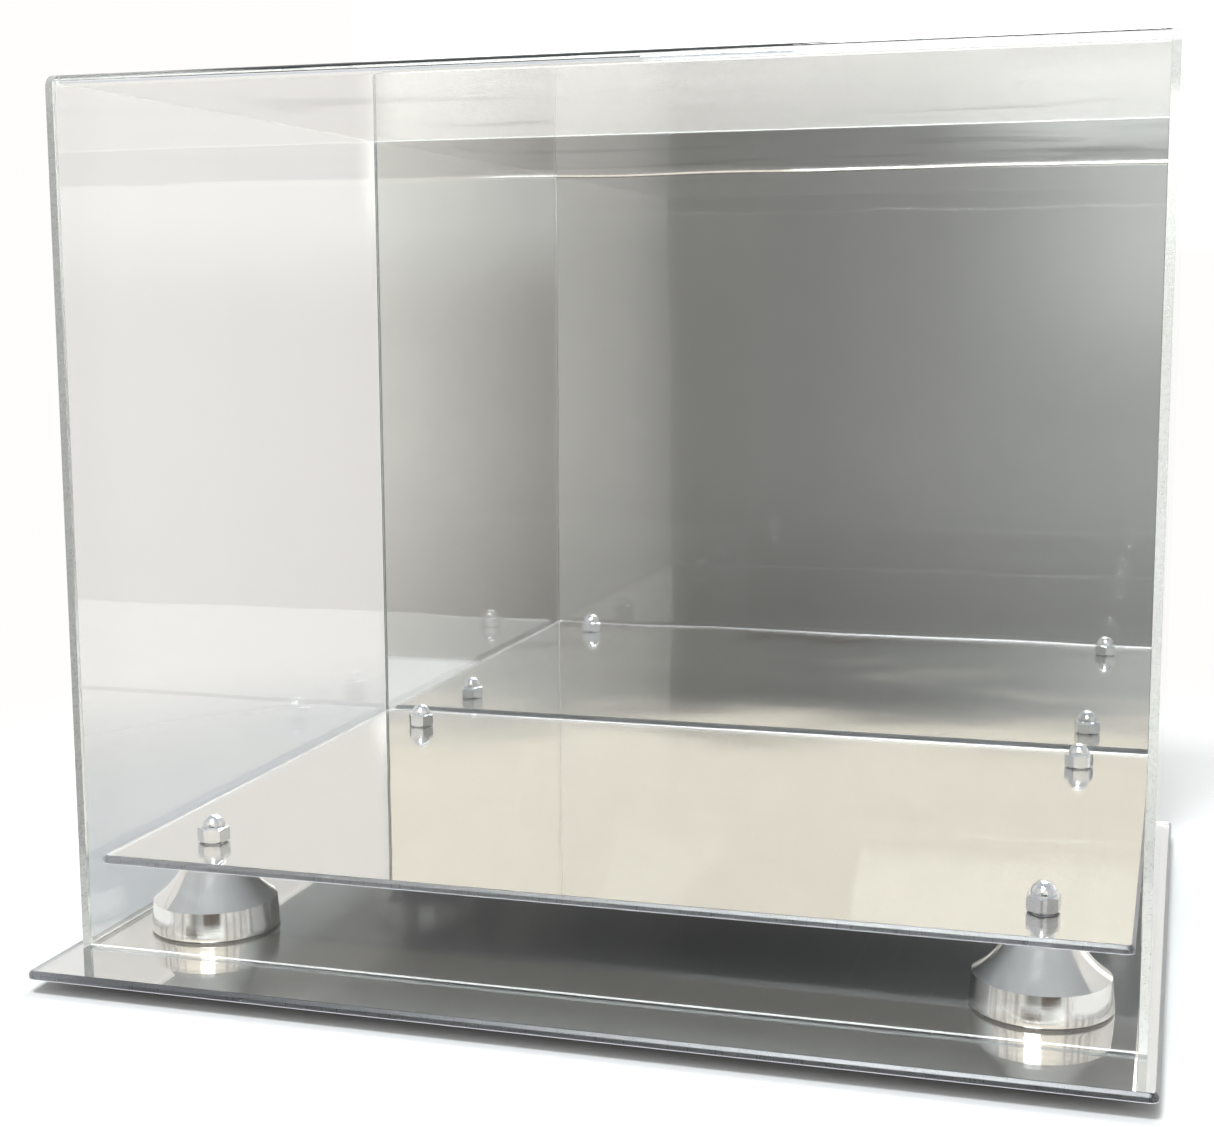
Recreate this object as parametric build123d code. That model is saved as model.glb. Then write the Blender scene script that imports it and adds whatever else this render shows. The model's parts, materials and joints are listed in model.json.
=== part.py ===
from build123d import *

import math
import os

# Free-standing case for one full-size football helmet. A lift-off clear cover with a
# mirrored back stands on a mirrored base plate, around a mirrored platform that four
# bell-shaped risers hold up. X runs across the case, Y from front to back, Z up.
# The origin is at the middle of the base plate's outline, on the surface the feet stand on.

# Sheet stock, mm
SHEET = 3.0                 # acrylic sheet, with or without the mirror coating
COATING = 0.2               # silvering and paint on the back of a mirrored sheet
CLEAR = SHEET - COATING     # clear acrylic of a mirrored sheet
PLATE_CORNER = 3.0          # rounded corners of the base and platform plates
PLATE_EASE = 1.2            # chamfer round the top of the base and platform plates

# Base plate
BASE_WIDTH = 406.4
BASE_DEPTH = 330.2

# Cover
LIP = 4.4                   # base plate showing at the sides and behind the cover
FRONT_LIP = 32.3            # base plate showing in front of the cover
COVER_HEIGHT = 329.0
BEND_RADIUS = 5.0           # outside radius of the heat bend between front and top
SEAT_GAP = 0.1              # air under the cover's bottom edges

# Platform
SIDE_GAP = 2.1              # platform to the inside of the cover, sides and back
FRONT_GAP = 4.6             # platform to the inside of the cover, front
RISER_INSET = 32.0          # riser axis in from the platform's edges

# Riser: a tapered foot band, then a hollow-curved bell up to the neck
RISER_HEIGHT = 31.2
RISER_RADIUS = 25.4
BAND_HEIGHT = 11.2
SHOULDER_RADIUS = 24.3
NECK_RADIUS = 10.5
BELL_HOLLOW = 2.3           # how far the bell curves in from a straight cone
RISER_EDGE = 0.4            # chamfer round the foot of the band

# Quarter-inch screw, washer and cap nut
SCREW_RADIUS = 3.175
SCREW_LENGTH = 44.45
HEAD_RADIUS = 6.0
HEAD_HEIGHT = 3.2
CROSS_WIDTH = 1.5           # cross recess in the screw's head
CROSS_LENGTH = 6.4
CROSS_DEPTH = 2.0
HOLE_RADIUS = 3.5           # screw holes in the plates, risers and washers
WASHER_RADIUS = 8.0
WASHER_THICKNESS = 1.2
NUT_FLATS = 11.11           # across flats
NUT_HEX_HEIGHT = 5.6
NUT_CHAMFER = 0.7
DOME_RADIUS = 4.6
DOME_RISE = 0.3             # straight collar under the dome
NUT_BORE_RADIUS = 3.2
NUT_BORE_DEPTH = 7.6
NUT_TURNS = {"front_left": 20, "front_right": 25, "back_left": 0, "back_right": 12}

# Bumper feet
FOOT_HEIGHT = 6.0
FOOT_TOP_RADIUS = 8.0
FOOT_BOTTOM_RADIUS = 6.8
FOOT_ROUND = 1.0
FOOT_INSET = 25.0           # foot centre in from the base plate's edges

# Levels
BASE_BOTTOM = FOOT_HEIGHT
BASE_TOP = BASE_BOTTOM + SHEET
COVER_BOTTOM = BASE_TOP + SEAT_GAP
COVER_TOP = COVER_BOTTOM + COVER_HEIGHT
PLATFORM_BOTTOM = BASE_TOP + RISER_HEIGHT
PLATFORM_TOP = PLATFORM_BOTTOM + SHEET

# Plan positions
COVER_WIDTH = BASE_WIDTH - 2 * LIP
COVER_FRONT = -BASE_DEPTH / 2 + FRONT_LIP
COVER_BACK = BASE_DEPTH / 2 - LIP
INNER_WIDTH = COVER_WIDTH - 2 * SHEET
BACK_PANEL_FRONT = COVER_BACK - SHEET
PLATFORM_WIDTH = INNER_WIDTH - 2 * SIDE_GAP
PLATFORM_FRONT = COVER_FRONT + SHEET + FRONT_GAP
PLATFORM_BACK = BACK_PANEL_FRONT - SIDE_GAP
PLATFORM_DEPTH = PLATFORM_BACK - PLATFORM_FRONT
PLATFORM_MIDDLE = (PLATFORM_FRONT + PLATFORM_BACK) / 2

RISER_X = PLATFORM_WIDTH / 2 - RISER_INSET
RISER_POINTS = {
    "front_left": (-RISER_X, PLATFORM_FRONT + RISER_INSET),
    "front_right": (RISER_X, PLATFORM_FRONT + RISER_INSET),
    "back_left": (-RISER_X, PLATFORM_BACK - RISER_INSET),
    "back_right": (RISER_X, PLATFORM_BACK - RISER_INSET),
}
FOOT_X = BASE_WIDTH / 2 - FOOT_INSET
FOOT_Y = BASE_DEPTH / 2 - FOOT_INSET
FOOT_POINTS = {
    "front_left": (-FOOT_X, -FOOT_Y),
    "front_right": (FOOT_X, -FOOT_Y),
    "back_left": (-FOOT_X, FOOT_Y),
    "back_right": (FOOT_X, FOOT_Y),
}

STANDING = (Align.CENTER, Align.CENTER, Align.MIN)


def screw_holes(bottom, height):
    """The four screw holes, as cylinders to cut from a plate."""
    hole = Cylinder(HOLE_RADIUS, height, align=STANDING)
    return [Pos(x, y, bottom) * hole for x, y in RISER_POINTS.values()]


def plate(width, depth, middle, bottom, thickness):
    """A flat plate with rounded corners and the four screw holes."""
    outline = RectangleRounded(width, depth, PLATE_CORNER)
    blank = Pos(0, middle, bottom) * extrude(outline, thickness)
    return blank - screw_holes(bottom, thickness)


def eased_plate(width, depth, middle, bottom):
    """The clear layer of a mirrored plate, chamfered round the top of its outline."""
    sheet = plate(width, depth, middle, bottom, CLEAR)
    rim = sheet.faces().sort_by(Axis.Z)[-1].outer_wire().edges()
    return chamfer(rim, PLATE_EASE)


def turned_curve(lines):
    """A solid turned about Z from lines and arcs that close, in (radius, height)."""
    return revolve(make_face(Plane.XZ * Curve(lines)), Axis.Z)


def turned(points):
    """A solid turned about Z from a closed outline of (radius, height) points."""
    return turned_curve([Polyline(*points, close=True)])


def base_plate():
    return eased_plate(BASE_WIDTH, BASE_DEPTH, 0, BASE_BOTTOM + COATING)


def base_coating():
    return plate(BASE_WIDTH, BASE_DEPTH, 0, BASE_BOTTOM, COATING)


def platform_plate():
    return eased_plate(PLATFORM_WIDTH, PLATFORM_DEPTH, PLATFORM_MIDDLE, PLATFORM_BOTTOM + COATING)


def platform_coating():
    return plate(PLATFORM_WIDTH, PLATFORM_DEPTH, PLATFORM_MIDDLE, PLATFORM_BOTTOM, COATING)


def riser():
    """Turned bell riser, standing on Z = 0 with the screw hole through it."""
    run = NECK_RADIUS - SHOULDER_RADIUS
    rise = RISER_HEIGHT - BAND_HEIGHT
    slant = math.hypot(run, rise)
    waist = (
        (SHOULDER_RADIUS + NECK_RADIUS) / 2 - BELL_HOLLOW * rise / slant,
        (BAND_HEIGHT + RISER_HEIGHT) / 2 + BELL_HOLLOW * run / slant,
    )
    outline = [
        Polyline(
            (NECK_RADIUS, RISER_HEIGHT),
            (HOLE_RADIUS, RISER_HEIGHT),
            (HOLE_RADIUS, 0),
            (RISER_RADIUS - RISER_EDGE, 0),
            (RISER_RADIUS, RISER_EDGE),
            (SHOULDER_RADIUS, BAND_HEIGHT),
        ),
        ThreePointArc((SHOULDER_RADIUS, BAND_HEIGHT), waist, (NECK_RADIUS, RISER_HEIGHT)),
    ]
    return turned_curve(outline)


def screw():
    """Pan-head screw, its head's seat at Z = 0 and its shank upwards."""
    head = turned([
        (0, 0),
        (HEAD_RADIUS, 0),
        (HEAD_RADIUS, -HEAD_HEIGHT * 0.55),
        (HEAD_RADIUS * 0.88, -HEAD_HEIGHT * 0.88),
        (HEAD_RADIUS * 0.6, -HEAD_HEIGHT),
        (0, -HEAD_HEIGHT),
    ])
    shank = turned([
        (0, 0),
        (SCREW_RADIUS, 0),
        (SCREW_RADIUS, SCREW_LENGTH - 1),
        (SCREW_RADIUS - 0.8, SCREW_LENGTH),
        (0, SCREW_LENGTH),
    ])
    slot = Pos(0, 0, -HEAD_HEIGHT) * Box(CROSS_LENGTH, CROSS_WIDTH, 2 * CROSS_DEPTH)
    return head + shank - slot - Rot(0, 0, 90) * slot


def washer():
    """Plain washer, its top face at Z = 0."""
    ring = Circle(WASHER_RADIUS) - Circle(HOLE_RADIUS)
    return extrude(ring, -WASHER_THICKNESS)


def cap_nut():
    """Domed cap nut, standing on Z = 0, with a blind bore for the screw."""
    corner = NUT_FLATS / math.sqrt(3)
    prism = extrude(RegularPolygon(NUT_FLATS / 2, 6, major_radius=False), NUT_HEX_HEIGHT)
    drop = NUT_CHAMFER * math.tan(math.radians(30))
    envelope = turned([
        (0, 0),
        (corner - NUT_CHAMFER, 0),
        (corner, drop),
        (corner, NUT_HEX_HEIGHT - 1.6 * drop),
        (corner - 1.6 * NUT_CHAMFER, NUT_HEX_HEIGHT),
        (0, NUT_HEX_HEIGHT),
    ])
    dome_level = NUT_HEX_HEIGHT + DOME_RISE
    dome = turned_curve([
        Polyline((0, dome_level + DOME_RADIUS), (0, 0), (DOME_RADIUS, 0), (DOME_RADIUS, dome_level)),
        RadiusArc((DOME_RADIUS, dome_level), (0, dome_level + DOME_RADIUS), -DOME_RADIUS),
    ])
    bore = Cylinder(NUT_BORE_RADIUS, NUT_BORE_DEPTH, align=STANDING)
    return (prism & envelope) + dome - bore


def foot():
    """Bumper foot, standing on Z = 0 and stuck on by its wide top face."""
    body = turned([
        (0, 0),
        (FOOT_BOTTOM_RADIUS, 0),
        (FOOT_TOP_RADIUS, FOOT_HEIGHT),
        (0, FOOT_HEIGHT),
    ])
    rim = body.edges().filter_by(GeomType.CIRCLE).sort_by(Axis.Z)[0]
    return fillet(rim, FOOT_ROUND)


def round_edge(solid, point, radius):
    """Round the edge along X that passes nearest to a point."""
    edge = solid.edges().filter_by(Axis.X).sort_by_distance(point)[0]
    return fillet(edge, radius)


def front_top_panel():
    """One sheet, heat-bent, that makes the cover's front and top between its sides."""
    inner_front = COVER_FRONT + SHEET
    inner_top = COVER_TOP - SHEET
    outline = make_face(Plane.YZ * Polyline(
        (COVER_FRONT, COVER_BOTTOM),
        (COVER_FRONT, COVER_TOP),
        (COVER_BACK, COVER_TOP),
        (COVER_BACK, inner_top),
        (inner_front, inner_top),
        (inner_front, COVER_BOTTOM),
        close=True,
    ))
    sheet = extrude(outline, INNER_WIDTH / 2, both=True)
    sheet = round_edge(sheet, (0, COVER_FRONT, COVER_TOP), BEND_RADIUS)
    return round_edge(sheet, (0, inner_front, inner_top), BEND_RADIUS - SHEET)


def side_panel(side):
    """A flat side of the cover, its front top corner rounded to the bend."""
    depth = COVER_BACK - COVER_FRONT
    middle = (COVER_BACK + COVER_FRONT) / 2
    centre_x = side * (COVER_WIDTH - SHEET) / 2
    sheet = Pos(centre_x, middle, COVER_BOTTOM) * Box(SHEET, depth, COVER_HEIGHT, align=STANDING)
    return round_edge(sheet, (centre_x, COVER_FRONT, COVER_TOP), BEND_RADIUS)


def back_layer(front, thickness):
    """One layer of the mirrored back panel, between the sides and under the top."""
    low = (Align.CENTER, Align.MIN, Align.MIN)
    return Pos(0, front, COVER_BOTTOM) * Box(INNER_WIDTH, thickness, COVER_HEIGHT - SHEET, align=low)


def fixed_parts():
    """Base plate, platform and what holds them together."""
    parts = {
        "base_plate": base_plate(),
        "base_mirror_coating": base_coating(),
        "platform_plate": platform_plate(),
        "platform_mirror_coating": platform_coating(),
    }
    for place, (x, y) in RISER_POINTS.items():
        parts[f"riser_{place}"] = Pos(x, y, BASE_TOP) * riser()
        parts[f"washer_{place}"] = Pos(x, y, BASE_BOTTOM) * washer()
        parts[f"screw_{place}"] = Pos(x, y, BASE_BOTTOM - WASHER_THICKNESS) * screw()
        parts[f"cap_nut_{place}"] = Pos(x, y, PLATFORM_TOP) * Rot(0, 0, NUT_TURNS[place]) * cap_nut()
    for place, (x, y) in FOOT_POINTS.items():
        parts[f"foot_{place}"] = Pos(x, y, 0) * foot()
    return parts


def cover_parts():
    """The panels of the lift-off cover."""
    return {
        "cover_front_top_panel": front_top_panel(),
        "cover_left_panel": side_panel(-1),
        "cover_right_panel": side_panel(1),
        "cover_back_panel": back_layer(BACK_PANEL_FRONT, CLEAR),
        "cover_back_mirror_coating": back_layer(BACK_PANEL_FRONT + CLEAR, COATING),
    }


os.makedirs("parts", exist_ok=True)
for node, solid in {**fixed_parts(), **cover_parts()}.items():
    export_step(solid, f"parts/{node}.step")
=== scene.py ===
import json
import math

import bmesh
import bpy
from mathutils import Matrix, Vector

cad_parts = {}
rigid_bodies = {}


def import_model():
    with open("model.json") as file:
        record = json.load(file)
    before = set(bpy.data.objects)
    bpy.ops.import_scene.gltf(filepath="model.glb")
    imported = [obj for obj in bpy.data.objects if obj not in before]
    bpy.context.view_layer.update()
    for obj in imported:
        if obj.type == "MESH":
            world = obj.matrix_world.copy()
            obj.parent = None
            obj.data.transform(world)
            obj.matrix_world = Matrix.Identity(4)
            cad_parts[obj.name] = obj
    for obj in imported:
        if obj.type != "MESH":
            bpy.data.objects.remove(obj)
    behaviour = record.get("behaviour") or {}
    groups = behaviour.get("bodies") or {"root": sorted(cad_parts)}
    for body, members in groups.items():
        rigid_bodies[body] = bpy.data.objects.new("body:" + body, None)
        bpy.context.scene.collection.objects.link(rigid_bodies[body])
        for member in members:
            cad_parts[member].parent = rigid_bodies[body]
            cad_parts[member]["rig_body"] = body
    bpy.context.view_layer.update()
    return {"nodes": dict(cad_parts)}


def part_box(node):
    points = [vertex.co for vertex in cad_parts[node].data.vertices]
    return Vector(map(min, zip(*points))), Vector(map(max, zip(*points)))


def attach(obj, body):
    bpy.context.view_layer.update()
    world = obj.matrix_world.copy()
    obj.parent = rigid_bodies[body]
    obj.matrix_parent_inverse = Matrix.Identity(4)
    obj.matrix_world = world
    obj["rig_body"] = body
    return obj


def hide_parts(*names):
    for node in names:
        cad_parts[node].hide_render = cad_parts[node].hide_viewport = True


# Looks of a helmet display case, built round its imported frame. Metres, +Z up.
# The case is mirrored acrylic plates on polished bell risers, under a lift-off clear cover.

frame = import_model()
MM = 0.001

# Camera, in the object's frame. It was fitted to the case's straight edges in the photo.
CAMERA_PLACE = (0.20496, -0.76101, 0.25642)
CAMERA_YAW = 16.88           # degrees to the left of +Y
CAMERA_PITCH = 7.88          # degrees down
CAMERA_ROLL = -0.32          # degrees
LENS = 57.02
SENSOR = 36.0

# Sheet pieces
COATING_GAP = 0.02 * MM      # keeps a coating's face off the sheet that it backs
CEMENT_GAP = 0.04 * MM       # a cemented joint, per side
SILVERED_DEPTH = 0.05 * MM   # a coating's points this near to its sheet are its silvered face
EDGE_BREAK = 0.22 * MM       # sharp edges of cut sheet, just broken
BEND_OUTER = 5.0 * MM        # radii of the heat bend at the cover's front top edge
BEND_INNER = 2.0 * MM
BEND_STEPS = 28
FACING = 0.99                # a face looks along an axis when this much of its normal does

# Riser
RISER_SEGMENTS = 192
FOOT_ROUND = 0.5 * MM        # rounding at the bottom of the foot
FOOT_ROUND_STEPS = 6
BAND_TOP = 11.2 * MM         # height of the foot's nearly straight band
BAND_STEPS = 8
SHOULDER = 24.3 * MM         # radius where the band ends and the bell begins
NECK = 10.5 * MM             # radius at the top
BORE = 3.5 * MM              # radius of the screw's hole
HOLLOW = 2.3 * MM            # how far the bell curves in from a straight cone
BELL_STEPS = 32
SMOOTH_ANGLE = 28            # degrees

# Room. Azimuth is in degrees to the left of the case's front, elevation in degrees up.
# Each band gives where it starts, is full, begins to fade and ends.
# The grey patch in front of the case, from its right side to its left: azimuth and brightness
PATCH_STOPS = ((-44, 1.0), (-20, 0.6), (1, 0.47), (11, 0.28), (14.5, 0.27), (16, 0.42), (19, 0.56),
               (25, 1.1), (31, 1.0), (32, 0.6), (35, 0.6), (37, 1.0), (80, 1.0))
PATCH_ELEVATION = (-45.0, -30.0, 11.6, 13.3)
PATCH_AZIMUTH = (-44.0, -38.0, 74.0, 80.0)
STRIP_ELEVATION = (3.9, 4.6, 6.0, 6.8)
LOW_CORE_ELEVATION = (6.4, 7.2, 9.2, 10.0)
LOW_CORE_AZIMUTH = (-6.0, -3.0, 26.0, 29.0)
TALL_CORE_ELEVATION = (-16.0, -12.0, -1.0, 3.0)
TALL_CORE_AZIMUTH = (-37.0, -33.0, -7.0, -3.0)
BACKDROP_ELEVATION = (1.0, 4.0, 12.5, 14.5)
SIDES_AZIMUTH = (32.0, 38.0, 100.0, 115.0)
SIDES_ELEVATION = (-25.0, -20.0, 50.0, 62.0)
WHITE = (1.0, 0.99, 0.975)
WARM_WHITE = (1.34, 1.27, 1.13)
BRIGHT_BACKDROP = (2.3, 2.3, 2.25)
BRIGHT_STRIP = (1.75, 1.85, 1.8)
DARK_BROWN = (0.09, 0.065, 0.048)
FURNITURE = (0.42, 0.40, 0.37)
CEILING = (0.66, 0.72, 0.78)

# Floor
FLOOR_HALF_SIZE = 1.4
FLOOR_FADE = (0.3, 0.65)     # distances from the middle of the case between which it fades out
FRONT_BLEND = 0.03           # width of the change to the part in front that mirrors don't see


# ---------------------------------------------------------------- node helpers

def node(tree, kind, links=None, **values):
    """Adds a shader node. links maps input names or numbers to sockets or constants."""
    made = tree.nodes.new(kind)
    for name, value in values.items():
        setattr(made, name, value)
    for key, value in (links or {}).items():
        if isinstance(value, bpy.types.NodeSocket):
            tree.links.new(value, made.inputs[key])
        else:
            made.inputs[key].default_value = value
    return made


def math_node(tree, operation, *values):
    return node(tree, "ShaderNodeMath", dict(enumerate(values)), operation=operation).outputs[0]


def smooth_step(tree, value, start, end, low=0.0, high=1.0):
    """Goes from low to high as value goes from start to end. start may be the larger."""
    flip = start > end
    if flip:
        start, end, low, high = end, start, high, low
    step = node(tree, "ShaderNodeMapRange", {0: value, 1: start, 2: end, 3: low, 4: high},
                interpolation_type="SMOOTHSTEP")
    return step.outputs[0]


def band(tree, value, start, full, fade, end):
    """One from full to fade, and zero outside start to end."""
    rise = smooth_step(tree, value, start, full)
    fall = smooth_step(tree, value, end, fade)
    return math_node(tree, "MULTIPLY", rise, fall)


def blend_value(tree, factor, first, second):
    """A number that goes from first to second with factor."""
    return node(tree, "ShaderNodeMapRange", {0: factor, 1: 0.0, 2: 1.0, 3: first, 4: second}).outputs[0]


def blend_colour(tree, factor, first, second):
    mix = node(tree, "ShaderNodeMix", data_type="RGBA")
    for socket, value in ((mix.inputs[0], factor), (mix.inputs[6], first), (mix.inputs[7], second)):
        if isinstance(value, bpy.types.NodeSocket):
            tree.links.new(value, socket)
        else:
            socket.default_value = value if isinstance(value, float) else (*value[:3], 1.0)
    return mix.outputs[2]


def place(tree, scale=(1, 1, 1), turn=(0, 0, 0)):
    """Object coordinates, turned and then stretched."""
    coords = node(tree, "ShaderNodeTexCoord").outputs["Object"]
    return node(tree, "ShaderNodeMapping", {"Vector": coords, "Rotation": turn, "Scale": scale}).outputs[0]


def noise(tree, vector, scale, detail=2.0, roughness=0.5):
    return node(tree, "ShaderNodeTexNoise", {
        "Vector": vector, "Scale": scale, "Detail": detail, "Roughness": roughness}).outputs[0]


def bump(tree, height, distance, strength=1.0, normal=None):
    links = {"Height": height, "Distance": distance, "Strength": strength}
    if normal is not None:
        links["Normal"] = normal
    return node(tree, "ShaderNodeBump", links).outputs[0]


def scratches(tree, turn, density):
    """A mask of fine, broken, nearly parallel hairlines across a flat face."""
    fine = noise(tree, place(tree, (900, 5, 5), (0, 0, turn)), 1.0, 1.0)
    lines = smooth_step(tree, fine, density, density + 0.06)
    breaks = smooth_step(tree, noise(tree, place(tree, (1, 1, 1), (0, 0, turn)), 14.0, 3.0), 0.5, 0.62)
    return math_node(tree, "MULTIPLY", lines, breaks)


def material(name):
    """An empty node material. Returns it with its tree and output node."""
    made = bpy.data.materials.new(name)
    made.use_nodes = True
    tree = made.node_tree
    tree.nodes.clear()
    return made, tree, node(tree, "ShaderNodeOutputMaterial")


def surface(tree, output, shader):
    tree.links.new(shader, output.inputs["Surface"])


def lets_lamps_through(tree, shader, tint):
    """The shader, but clear to rays that look for a lamp, so that light reaches what is inside."""
    path = node(tree, "ShaderNodeLightPath")
    clear = node(tree, "ShaderNodeBsdfTransparent", {"Color": (*tint, 1.0)})
    return node(tree, "ShaderNodeMixShader", {
        0: path.outputs["Is Shadow Ray"], 1: shader, 2: clear.outputs[0]}).outputs[0]


def seen_in_mirror(tree):
    """One for a ray that has come by way of a mirror or metal and nothing matt, else zero."""
    path = node(tree, "ShaderNodeLightPath")
    glossy = math_node(tree, "MINIMUM", path.outputs["Glossy Depth"], 1.0)
    matt = math_node(tree, "MINIMUM", path.outputs["Diffuse Depth"], 1.0)
    return math_node(tree, "SUBTRACT", glossy, math_node(tree, "MULTIPLY", glossy, matt))


def seen_through_wall(tree):
    """One for a ray that has come through more than one sheet and off no mirror, else zero."""
    path = node(tree, "ShaderNodeLightPath")
    through = math_node(tree, "SUBTRACT", path.outputs["Transmission Depth"], 2.0)
    through = math_node(tree, "MINIMUM", math_node(tree, "MAXIMUM", through, 0.0), 1.0)
    glossy = math_node(tree, "MINIMUM", path.outputs["Glossy Depth"], 1.0)
    return math_node(tree, "MULTIPLY", through, math_node(tree, "SUBTRACT", 1.0, glossy))


# ------------------------------------------------------------------- materials

def clear_acrylic():
    """Polished face of cast acrylic: very slightly wavy, with hairline handling marks."""
    made, tree, output = material("clear_acrylic")
    wave = noise(tree, place(tree), 9.0, 1.0)
    hairlines = scratches(tree, 0.5, 0.67)
    shader = node(tree, "ShaderNodeBsdfPrincipled", {
        "Base Color": (0.955, 0.95, 0.94, 1.0),
        "Roughness": blend_value(tree, hairlines, 0.0, 0.035),
        "IOR": 1.49,
        "Transmission Weight": 1.0,
        "Normal": bump(tree, wave, 0.00012),
    }).outputs[0]
    surface(tree, output, lets_lamps_through(tree, shader, (0.95, 0.96, 0.955)))
    return made


def cut_edge(name, grain, colour, roughness, frost):
    """Saw-cut and buffed edge of acrylic sheet. grain stretches the saw marks; frost scatters light."""
    made, tree, output = material(name)
    marks = noise(tree, place(tree, grain), 1.0, 3.0, 0.6)
    patches = noise(tree, place(tree), 35.0, 2.0)
    shader = node(tree, "ShaderNodeBsdfPrincipled", {
        "Base Color": blend_colour(tree, patches, colour, tuple(0.86 * c for c in colour)),
        "Roughness": blend_value(tree, marks, roughness * 0.7, roughness * 1.3),
        "IOR": 1.49,
        "Transmission Weight": blend_value(tree, marks, 1.1 - frost, 0.9 - frost),
        "Normal": bump(tree, marks, 0.00005),
    }).outputs[0]
    surface(tree, output, lets_lamps_through(tree, shader, (0.8, 0.82, 0.81)))
    return made


def silvering():
    """Mirror coating as seen through the sheet that it backs, with the sheet's slight waviness."""
    made, tree, output = material("silvering")
    wave = noise(tree, place(tree), 7.0, 1.5)
    haze = noise(tree, place(tree), 55.0, 4.0, 0.65)
    shader = node(tree, "ShaderNodeBsdfPrincipled", {
        "Base Color": blend_colour(tree, haze, (0.80, 0.81, 0.81), (0.86, 0.865, 0.86)),
        "Metallic": 1.0,
        "Roughness": blend_value(tree, haze, 0.004, 0.02),
        "Normal": bump(tree, wave, 0.0002),
    }).outputs[0]
    surface(tree, output, shader)
    return made


def coating_paint():
    """Grey protective paint on the back of the mirrored sheet, rolled on, with rub marks."""
    made, tree, output = material("coating_paint")
    peel = noise(tree, place(tree), 700.0, 2.0)
    cloud = noise(tree, place(tree), 12.0, 4.0, 0.6)
    rubs = scratches(tree, 1.1, 0.66)
    base = blend_colour(tree, cloud, (0.51, 0.52, 0.545), (0.57, 0.58, 0.605))
    rubbed = node(tree, "ShaderNodeVectorMath", {0: base, "Scale": blend_value(tree, rubs, 1.0, 1.18)},
                  operation="SCALE").outputs[0]
    shader = node(tree, "ShaderNodeBsdfPrincipled", {
        "Base Color": rubbed,
        "Roughness": blend_value(tree, cloud, 0.08, 0.16),
        "Normal": bump(tree, peel, 0.00002, 0.6),
    }).outputs[0]
    surface(tree, output, shader)
    return made


def polished_riser():
    """Turned and polished aluminium: faint lathe rings, and a peel that sparkles in highlights."""
    made, tree, output = material("polished_riser")
    rings = noise(tree, place(tree, (3, 3, 5200)), 1.0, 3.0, 0.6)
    peel = noise(tree, place(tree), 1400.0, 2.0)
    smudge = noise(tree, place(tree), 60.0, 3.0)
    rough = blend_value(tree, smudge, 0.045, 0.11)
    shader = node(tree, "ShaderNodeBsdfPrincipled", {
        "Base Color": blend_colour(tree, smudge, (0.84, 0.83, 0.81), (0.89, 0.885, 0.87)),
        "Metallic": 1.0,
        "Roughness": rough,
        "Normal": bump(tree, rings, 0.000012, 0.7, bump(tree, peel, 0.000014, 0.5)),
    }).outputs[0]
    surface(tree, output, shader)
    return made


def plated(name, light, dark, roughness, fleck):
    """Plated steel with a fine grain and slightly cloudy shine."""
    made, tree, output = material(name)
    grain = noise(tree, place(tree), fleck, 3.0, 0.6)
    cloud = noise(tree, place(tree), 180.0, 2.0)
    shader = node(tree, "ShaderNodeBsdfPrincipled", {
        "Base Color": blend_colour(tree, cloud, light, dark),
        "Metallic": 1.0,
        "Roughness": blend_value(tree, grain, roughness * 0.6, roughness * 1.4),
        "Normal": bump(tree, grain, 0.00001, 0.6),
    }).outputs[0]
    surface(tree, output, shader)
    return made


def bumper_rubber():
    """Soft black bumper with a fine moulded grain and dust rubbed into it."""
    made, tree, output = material("bumper_rubber")
    grain = noise(tree, place(tree), 2600.0, 2.0)
    dust = smooth_step(tree, noise(tree, place(tree), 160.0, 4.0, 0.7), 0.5, 0.75)
    shader = node(tree, "ShaderNodeBsdfPrincipled", {
        "Base Color": blend_colour(tree, dust, (0.018, 0.018, 0.02), (0.07, 0.068, 0.064)),
        "Roughness": blend_value(tree, dust, 0.55, 0.8),
        "Normal": bump(tree, grain, 0.00003, 0.7),
    }).outputs[0]
    surface(tree, output, shader)
    return made


def pale_floor(front_edge):
    """Pale sweep that fades out away from the case.

    Mirrors don't see it in front of the case, and seen through more than one sheet its colour is painted a
    darker grey, a painted shade.
    """
    made, tree, output = material("pale_floor")
    coords = node(tree, "ShaderNodeTexCoord").outputs["Object"]
    axes = node(tree, "ShaderNodeSeparateXYZ", {0: coords})
    front = smooth_step(tree, axes.outputs[1], front_edge - FRONT_BLEND, front_edge, 1.0, 0.0)
    front = math_node(tree, "MULTIPLY", front, seen_in_mirror(tree))
    reach = node(tree, "ShaderNodeVectorMath", {0: coords}, operation="LENGTH").outputs["Value"]
    away = smooth_step(tree, reach, *FLOOR_FADE)
    fade = math_node(tree, "MAXIMUM", front, away)
    grain = noise(tree, coords, 900.0, 2.0)
    shade = blend_colour(tree, grain, (0.43, 0.429, 0.425), (0.45, 0.449, 0.445))
    paper = node(tree, "ShaderNodeBsdfPrincipled", {
        # Painted shade: seen through more than one sheet, the floor's colour goes to a darker grey.
        "Base Color": blend_colour(tree, seen_through_wall(tree), shade, (0.27, 0.28, 0.29)),
        "Roughness": 0.7,
        "Specular IOR Level": 0.2,
        "Normal": bump(tree, grain, 0.00004, 0.4),
    }).outputs[0]
    clear = node(tree, "ShaderNodeBsdfTransparent").outputs[0]
    surface(tree, output, node(tree, "ShaderNodeMixShader", {0: fade, 1: paper, 2: clear}).outputs[0])
    return made


# -------------------------------------------------------------------- geometry

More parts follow.
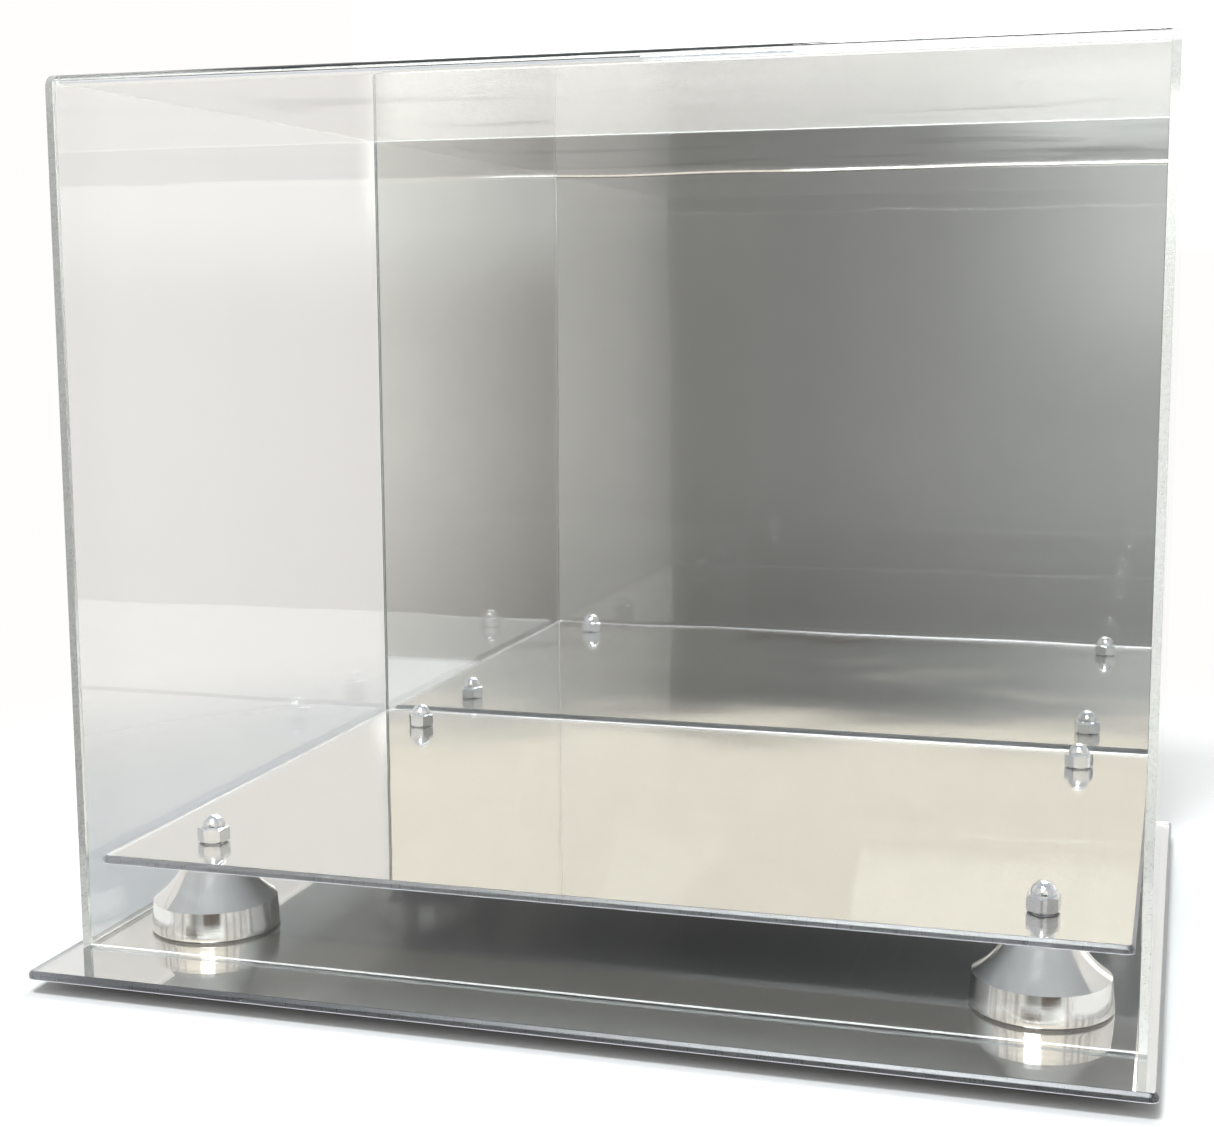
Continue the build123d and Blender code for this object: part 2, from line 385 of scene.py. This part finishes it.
def mesh_object(name, bm, materials):
    """A new object from a bmesh, with these materials in its slots."""
    mesh = bpy.data.meshes.new(name)
    bm.normal_update()
    bm.to_mesh(mesh)
    bm.free()
    if "custom_normal" in mesh.attributes:
        mesh.attributes.remove(mesh.attributes["custom_normal"])
    for entry in materials:
        mesh.materials.append(entry)
    made = bpy.data.objects.new(name, mesh)
    bpy.context.scene.collection.objects.link(made)
    return made


def break_edges(bm, width):
    """Bevels every sharp edge a little."""
    sharp = [e for e in bm.edges if len(e.link_faces) == 2 and e.calc_face_angle() > math.radians(30)]
    bmesh.ops.bevel(bm, geom=sharp, offset=width, segments=2, profile=0.7, affect="EDGES")


def prism(points, start, end):
    """A bmesh prism: a flat outline of 3-D points at start, swept by the vector end - start."""
    bm = bmesh.new()
    sweep = Vector(end) - Vector(start)
    base = [bm.verts.new(Vector(start) + Vector(p)) for p in points]
    top = [bm.verts.new(v.co + sweep) for v in base]
    bm.faces.new(base)
    bm.faces.new(top)
    for i in range(len(base)):
        j = (i + 1) % len(base)
        bm.faces.new((base[i], base[j], top[j], top[i]))
    bmesh.ops.recalc_face_normals(bm, faces=bm.faces)
    return bm


def from_node(node_name):
    """A bmesh of a CAD node's mesh, welded, with its flat faces whole again."""
    bm = bmesh.new()
    bm.from_mesh(frame["nodes"][node_name].data)
    bmesh.ops.remove_doubles(bm, verts=bm.verts, dist=1e-6)
    bmesh.ops.dissolve_limit(bm, angle_limit=math.radians(0.5), verts=bm.verts, edges=bm.edges)
    bmesh.ops.recalc_face_normals(bm, faces=bm.faces)
    return bm


def paint_faces(obj, choose):
    """Gives each face the slot number that choose(face centre, normal) says."""
    for face in obj.data.polygons:
        face.material_index = choose(face.center, face.normal)


def stands_for(obj, node_name):
    """Puts a new piece in a CAD node's place."""
    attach(obj, frame["nodes"][node_name]["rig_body"])
    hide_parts(node_name)
    return obj


# ---------------------------------------------------------------------- pieces

def mirrored_sheet(sheet_node, coating_node, mats, back, edge):
    """A clear sheet silvered on the face that looks along back, and its painted coating behind."""
    back = Vector(back)
    bm = from_node(sheet_node)
    break_edges(bm, EDGE_BREAK)
    sheet = mesh_object(sheet_node + "_glazed", bm, [mats["clear"], mats[edge], mats["silver"]])
    low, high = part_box(sheet_node)

    def sheet_slot(centre, normal):
        along = normal.dot(back)
        if along > FACING:
            return 2
        return 0 if along < -FACING else 1

    paint_faces(sheet, sheet_slot)
    stands_for(sheet, sheet_node)

    silvered = max(low.dot(back), high.dot(back))
    bm = from_node(coating_node)
    for vertex in bm.verts:
        if vertex.co.dot(back) < silvered + SILVERED_DEPTH:
            vertex.co += back * COATING_GAP
    coating = mesh_object(coating_node + "_paint", bm, [mats["paint"], mats["silver"]])
    paint_faces(coating, lambda centre, normal: 1 if normal.dot(back) < -FACING else 0)
    stands_for(coating, coating_node)


def front_top_sheet(mats):
    """The cover's bent front and top, between its sides, with finely stepped bends."""
    low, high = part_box("cover_front_top_panel")
    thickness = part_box("cover_left_panel")[1].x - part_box("cover_left_panel")[0].x

    def arc(centre, radius, first, last):
        steps = [first + (last - first) * i / BEND_STEPS for i in range(BEND_STEPS + 1)]
        return [(0, centre[0] + radius * math.cos(a), centre[1] + radius * math.sin(a)) for a in steps]

    outline = [(0, low.y, low.z)]
    outline += arc((low.y + BEND_OUTER, high.z - BEND_OUTER), BEND_OUTER, math.pi, math.pi / 2)
    outline += [(0, high.y, high.z), (0, high.y, high.z - thickness)]
    inner_centre = (low.y + thickness + BEND_INNER, high.z - thickness - BEND_INNER)
    outline += arc(inner_centre, BEND_INNER, math.pi / 2, math.pi)
    outline += [(0, low.y + thickness, low.z)]
    bm = prism(outline, (low.x + CEMENT_GAP, 0, 0), (high.x - CEMENT_GAP, 0, 0))
    break_edges(bm, EDGE_BREAK)
    sheet = mesh_object("cover_front_top_glazed", bm, [mats["clear"], mats["wall_edge"], mats["bottom_edge"]])

    def slot(centre, normal):
        if normal.z < -0.5 and centre.z < low.z + thickness:
            return 2
        rear = normal.y > 0.5 and centre.y > high.y - thickness
        return 1 if rear or abs(normal.x) > 0.5 else 0

    paint_faces(sheet, slot)
    stands_for(sheet, "cover_front_top_panel")


def side_sheet(node_name, mats):
    """A flat side of the cover, its front top corner rounded to the bend."""
    low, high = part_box(node_name)
    outline = [(0, low.y, low.z), (0, high.y, low.z), (0, high.y, high.z)]
    for step in range(BEND_STEPS + 1):
        angle = math.radians(90 + 90 * step / BEND_STEPS)
        y = low.y + BEND_OUTER + BEND_OUTER * math.cos(angle)
        z = high.z - BEND_OUTER + BEND_OUTER * math.sin(angle)
        outline.append((0, y, z))
    bm = prism(outline, (low.x, 0, 0), (high.x, 0, 0))
    break_edges(bm, EDGE_BREAK)
    sheet = mesh_object(node_name.replace("_panel", "_glazed"), bm, [mats["clear"], mats["wall_edge"]])
    paint_faces(sheet, lambda centre, normal: 0 if abs(normal.x) > FACING else 1)
    stands_for(sheet, node_name)


def riser(place_name, mats):
    """A polished bell riser, turned from its outline, with a rounded foot, a nearly straight band and a
    hollow bell.
    """
    node_name = "riser_" + place_name
    low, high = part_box(node_name)
    centre = (low + high) / 2
    foot = (high.x - low.x) / 2
    height = high.z - low.z
    outline = [(BORE, height), (BORE, 0.0), (foot - FOOT_ROUND, 0.0)]
    for step in range(1, FOOT_ROUND_STEPS + 1):
        angle = math.radians(90 * step / FOOT_ROUND_STEPS)
        radius = foot - FOOT_ROUND + FOOT_ROUND * math.sin(angle)
        outline.append((radius, FOOT_ROUND * (1 - math.cos(angle))))
    for step in range(1, BAND_STEPS + 1):
        t = step / BAND_STEPS
        outline.append((foot + (SHOULDER - foot) * t, FOOT_ROUND + (BAND_TOP - FOOT_ROUND) * t))
    chord = Vector((NECK - SHOULDER, height - BAND_TOP))
    inward = Vector((-chord.y, chord.x)).normalized() * HOLLOW
    for step in range(1, BELL_STEPS + 1):
        t = step / BELL_STEPS
        point = Vector((SHOULDER, BAND_TOP)) + chord * t + inward * (4 * t * (1 - t))
        outline.append((point.x, point.y))
    bm = bmesh.new()
    rings = []
    for segment in range(RISER_SEGMENTS):
        angle = 2 * math.pi * segment / RISER_SEGMENTS
        across, along = math.cos(angle), math.sin(angle)
        rings.append([bm.verts.new((centre.x + r * across, centre.y + r * along, low.z + z))
                      for r, z in outline])
    count = len(outline)
    for segment in range(RISER_SEGMENTS):
        here, there = rings[segment], rings[(segment + 1) % RISER_SEGMENTS]
        for i in range(count):
            j = (i + 1) % count
            bm.faces.new((here[i], there[i], there[j], here[j]))
    bmesh.ops.recalc_face_normals(bm, faces=bm.faces)
    made = mesh_object(node_name + "_turned", bm, [mats["riser"]])
    made.data.polygons.foreach_set("use_smooth", [True] * len(made.data.polygons))
    made.data.set_sharp_from_angle(angle=math.radians(SMOOTH_ANGLE))
    stands_for(made, node_name)


def finish_nodes(mats):
    """The small hardware keeps its CAD shape, and gets its finish."""
    for name, obj in frame["nodes"].items():
        for start, key in (("cap_nut", "nut"), ("screw", "zinc"), ("washer", "zinc"), ("foot", "rubber")):
            if name.startswith(start):
                obj.data.materials.clear()
                obj.data.materials.append(mats[key])


# ------------------------------------------------------------------------ room

def room():
    """White room that the camera sees, and a plain stand-in for the real room that its mirrors show.

    A ray that comes by way of a mirror or metal sees a grey patch with dark areas and a bright strip in
    front of the case, and streaks of furniture at its sides.
    """
    world = bpy.data.worlds.new("room")
    bpy.context.scene.world = world
    world.use_nodes = True
    tree = world.node_tree
    tree.nodes.clear()
    axes = node(tree, "ShaderNodeSeparateXYZ", {0: node(tree, "ShaderNodeTexCoord").outputs["Generated"]})
    left = math_node(tree, "MULTIPLY", axes.outputs[0], -1.0)
    front = math_node(tree, "MULTIPLY", axes.outputs[1], -1.0)
    degrees = 180 / math.pi
    azimuth = math_node(tree, "MULTIPLY", math_node(tree, "ARCTAN2", left, front), degrees)
    behind = math_node(tree, "MULTIPLY", math_node(tree, "ARCTAN2", left, axes.outputs[1]), degrees)
    elevation = math_node(tree, "MULTIPLY", math_node(tree, "ARCSINE", axes.outputs[2]), degrees)

    right_end, left_end = PATCH_STOPS[0][0], PATCH_STOPS[-1][0]
    span = node(tree, "ShaderNodeMapRange", {0: azimuth, 1: float(right_end), 2: float(left_end)}).outputs[0]
    ramp = node(tree, "ShaderNodeValToRGB", {0: span})
    elements = ramp.color_ramp.elements
    while len(elements) < len(PATCH_STOPS):
        elements.new(0.5)
    for element, (angle, value) in zip(elements, PATCH_STOPS):
        element.position = (angle - right_end) / (left_end - right_end)
        warm = min(1.0, max(0.0, (angle - 4) / 12))
        element.color = (value * (0.965 + 0.035 * warm), value, value * (1.0 - 0.035 * warm), 1.0)
    lift = math_node(tree, "MULTIPLY", smooth_step(tree, azimuth, 8.0, 0.0),
                     smooth_step(tree, elevation, -4.0, 2.0))
    level = math_node(tree, "MULTIPLY", blend_value(tree, lift, 1.0, 1.55),
                      smooth_step(tree, elevation, -4.0, -10.5, 1.0, 0.72))
    patch = node(tree, "ShaderNodeVectorMath", {0: ramp.outputs[0], "Scale": level},
                 operation="SCALE").outputs[0]
    strip = math_node(tree, "MULTIPLY", band(tree, elevation, *STRIP_ELEVATION),
                      smooth_step(tree, azimuth, 8.0, 3.0))
    patch = blend_colour(tree, strip, patch, BRIGHT_STRIP)
    low_core = math_node(tree, "MULTIPLY", band(tree, elevation, *LOW_CORE_ELEVATION),
                         band(tree, azimuth, *LOW_CORE_AZIMUTH))
    tall_core = math_node(tree, "MULTIPLY", band(tree, elevation, *TALL_CORE_ELEVATION),
                          band(tree, azimuth, *TALL_CORE_AZIMUTH))
    core = math_node(tree, "MAXIMUM", low_core, tall_core)
    patch = blend_colour(tree, core, patch, DARK_BROWN)

    inside = math_node(tree, "MULTIPLY", band(tree, elevation, *PATCH_ELEVATION),
                       band(tree, azimuth, *PATCH_AZIMUTH))
    mirrored = seen_in_mirror(tree)
    inside = math_node(tree, "MULTIPLY", inside, mirrored)

    ahead = math_node(tree, "MULTIPLY", smooth_step(tree, front, 0.4, 0.9),
                      smooth_step(tree, elevation, 9.0, 14.0))
    plain = blend_colour(tree, ahead, WHITE, WARM_WHITE)
    backdrop = math_node(tree, "MULTIPLY", smooth_step(tree, behind, 24.2, 22.8),
                         band(tree, elevation, *BACKDROP_ELEVATION))
    backdrop = math_node(tree, "MULTIPLY", backdrop, smooth_step(tree, axes.outputs[1], 0.5, 0.9))
    plain = blend_colour(tree, backdrop, plain, BRIGHT_BACKDROP)
    plain = blend_colour(tree, smooth_step(tree, elevation, 30.0, 62.0), plain, CEILING)
    colour = blend_colour(tree, inside, plain, patch)
    sideways = band(tree, math_node(tree, "ABSOLUTE", azimuth), *SIDES_AZIMUTH)
    sideways = math_node(tree, "MULTIPLY", sideways, band(tree, elevation, *SIDES_ELEVATION))
    sideways = math_node(tree, "MULTIPLY", sideways, mirrored)
    across = node(tree, "ShaderNodeCombineXYZ", {0: azimuth}).outputs[0]
    furniture = smooth_step(tree, noise(tree, across, 0.16, 3.0, 0.7), 0.5, 0.56)
    colour = blend_colour(tree, math_node(tree, "MULTIPLY", furniture, sideways), colour, FURNITURE)
    sky = node(tree, "ShaderNodeBackground", {"Color": colour, "Strength": 1.0})
    output = node(tree, "ShaderNodeOutputWorld")
    tree.links.new(sky.outputs[0], output.inputs["Surface"])


def floor(mats):
    """The pale sweep the case stands on."""
    bm = bmesh.new()
    bmesh.ops.create_grid(bm, x_segments=8, y_segments=8, size=FLOOR_HALF_SIZE)
    ground = mesh_object("floor", bm, [mats["floor"]])


def aim(obj, target):
    direction = Vector(target) - obj.location
    obj.rotation_euler = direction.to_track_quat("-Z", "Y").to_euler()


def softbox(name, location, target, size, power, colour):
    """A rectangular lamp that the camera doesn't see."""
    lamp = bpy.data.lights.new(name, "AREA")
    lamp.shape = "RECTANGLE"
    lamp.size, lamp.size_y = size
    lamp.energy = power
    lamp.color = colour
    obj = bpy.data.objects.new(name, lamp)
    obj.location = location
    obj.visible_camera = False
    bpy.context.scene.collection.objects.link(obj)
    aim(obj, target)


def camera():
    data = bpy.data.cameras.new("camera")
    data.lens = LENS
    data.sensor_width = SENSOR
    obj = bpy.data.objects.new("camera", data)
    yaw, pitch, roll = (math.radians(v) for v in (CAMERA_YAW, CAMERA_PITCH, CAMERA_ROLL))
    turn = Matrix.Rotation(yaw, 4, "Z") @ Matrix.Rotation(math.pi / 2 - pitch, 4, "X")
    turn = turn @ Matrix.Rotation(roll, 4, "Z")
    obj.matrix_world = Matrix.Translation(CAMERA_PLACE) @ turn
    bpy.context.scene.collection.objects.link(obj)
    bpy.context.scene.camera = obj


def view_settings():
    scene = bpy.context.scene
    scene.view_settings.view_transform = "Standard"
    cycles = scene.cycles
    cycles.max_bounces = 40
    cycles.transmission_bounces = 40
    cycles.glossy_bounces = 24
    cycles.diffuse_bounces = 4
    cycles.transparent_max_bounces = 40


# ------------------------------------------------------------------------ build

camera()
room()
softbox("key_softbox", (0.0, -1.0, 0.86), (0.0, -0.1, 0.0), (0.5, 0.55), 4.0, (0.94, 0.97, 1.0))
softbox("top_softbox", (-0.13, -0.95, 2.0), (0.0, -0.1, 0.0), (0.7, 0.4), 62.0, (0.93, 0.97, 1.0))
softbox("rear_softbox", (0.2, 0.95, 1.5), (0.15, 0.3, 0.0), (0.8, 0.8), 22.0, (1.0, 1.0, 1.0))
view_settings()

MATERIALS = {
    "clear": clear_acrylic(),
    "plate_edge": cut_edge("plate_edge", (3200, 3200, 150), (0.4, 0.395, 0.44), 0.3, 0.03),
    "wall_edge": cut_edge("wall_edge", (900, 900, 900), (0.64, 0.645, 0.62), 0.14, 0.34),
    "bottom_edge": cut_edge("bottom_edge", (500, 500, 500), (0.93, 0.945, 0.935), 0.12, 0.4),
    "silver": silvering(),
    "paint": coating_paint(),
    "riser": polished_riser(),
    "nut": plated("nickel_chrome", (0.68, 0.71, 0.75), (0.78, 0.8, 0.83), 0.07, 900.0),
    "zinc": plated("zinc_plate", (0.62, 0.64, 0.67), (0.72, 0.73, 0.74), 0.26, 1500.0),
    "rubber": bumper_rubber(),
    "floor": pale_floor(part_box("base_plate")[0].y),
}
floor(MATERIALS)
mirrored_sheet("base_plate", "base_mirror_coating", MATERIALS, (0, 0, -1), "plate_edge")
mirrored_sheet("platform_plate", "platform_mirror_coating", MATERIALS, (0, 0, -1), "plate_edge")
mirrored_sheet("cover_back_panel", "cover_back_mirror_coating", MATERIALS, (0, 1, 0), "wall_edge")
front_top_sheet(MATERIALS)
side_sheet("cover_left_panel", MATERIALS)
side_sheet("cover_right_panel", MATERIALS)
for corner in ("front_left", "front_right", "back_left", "back_right"):
    riser(corner, MATERIALS)
finish_nodes(MATERIALS)
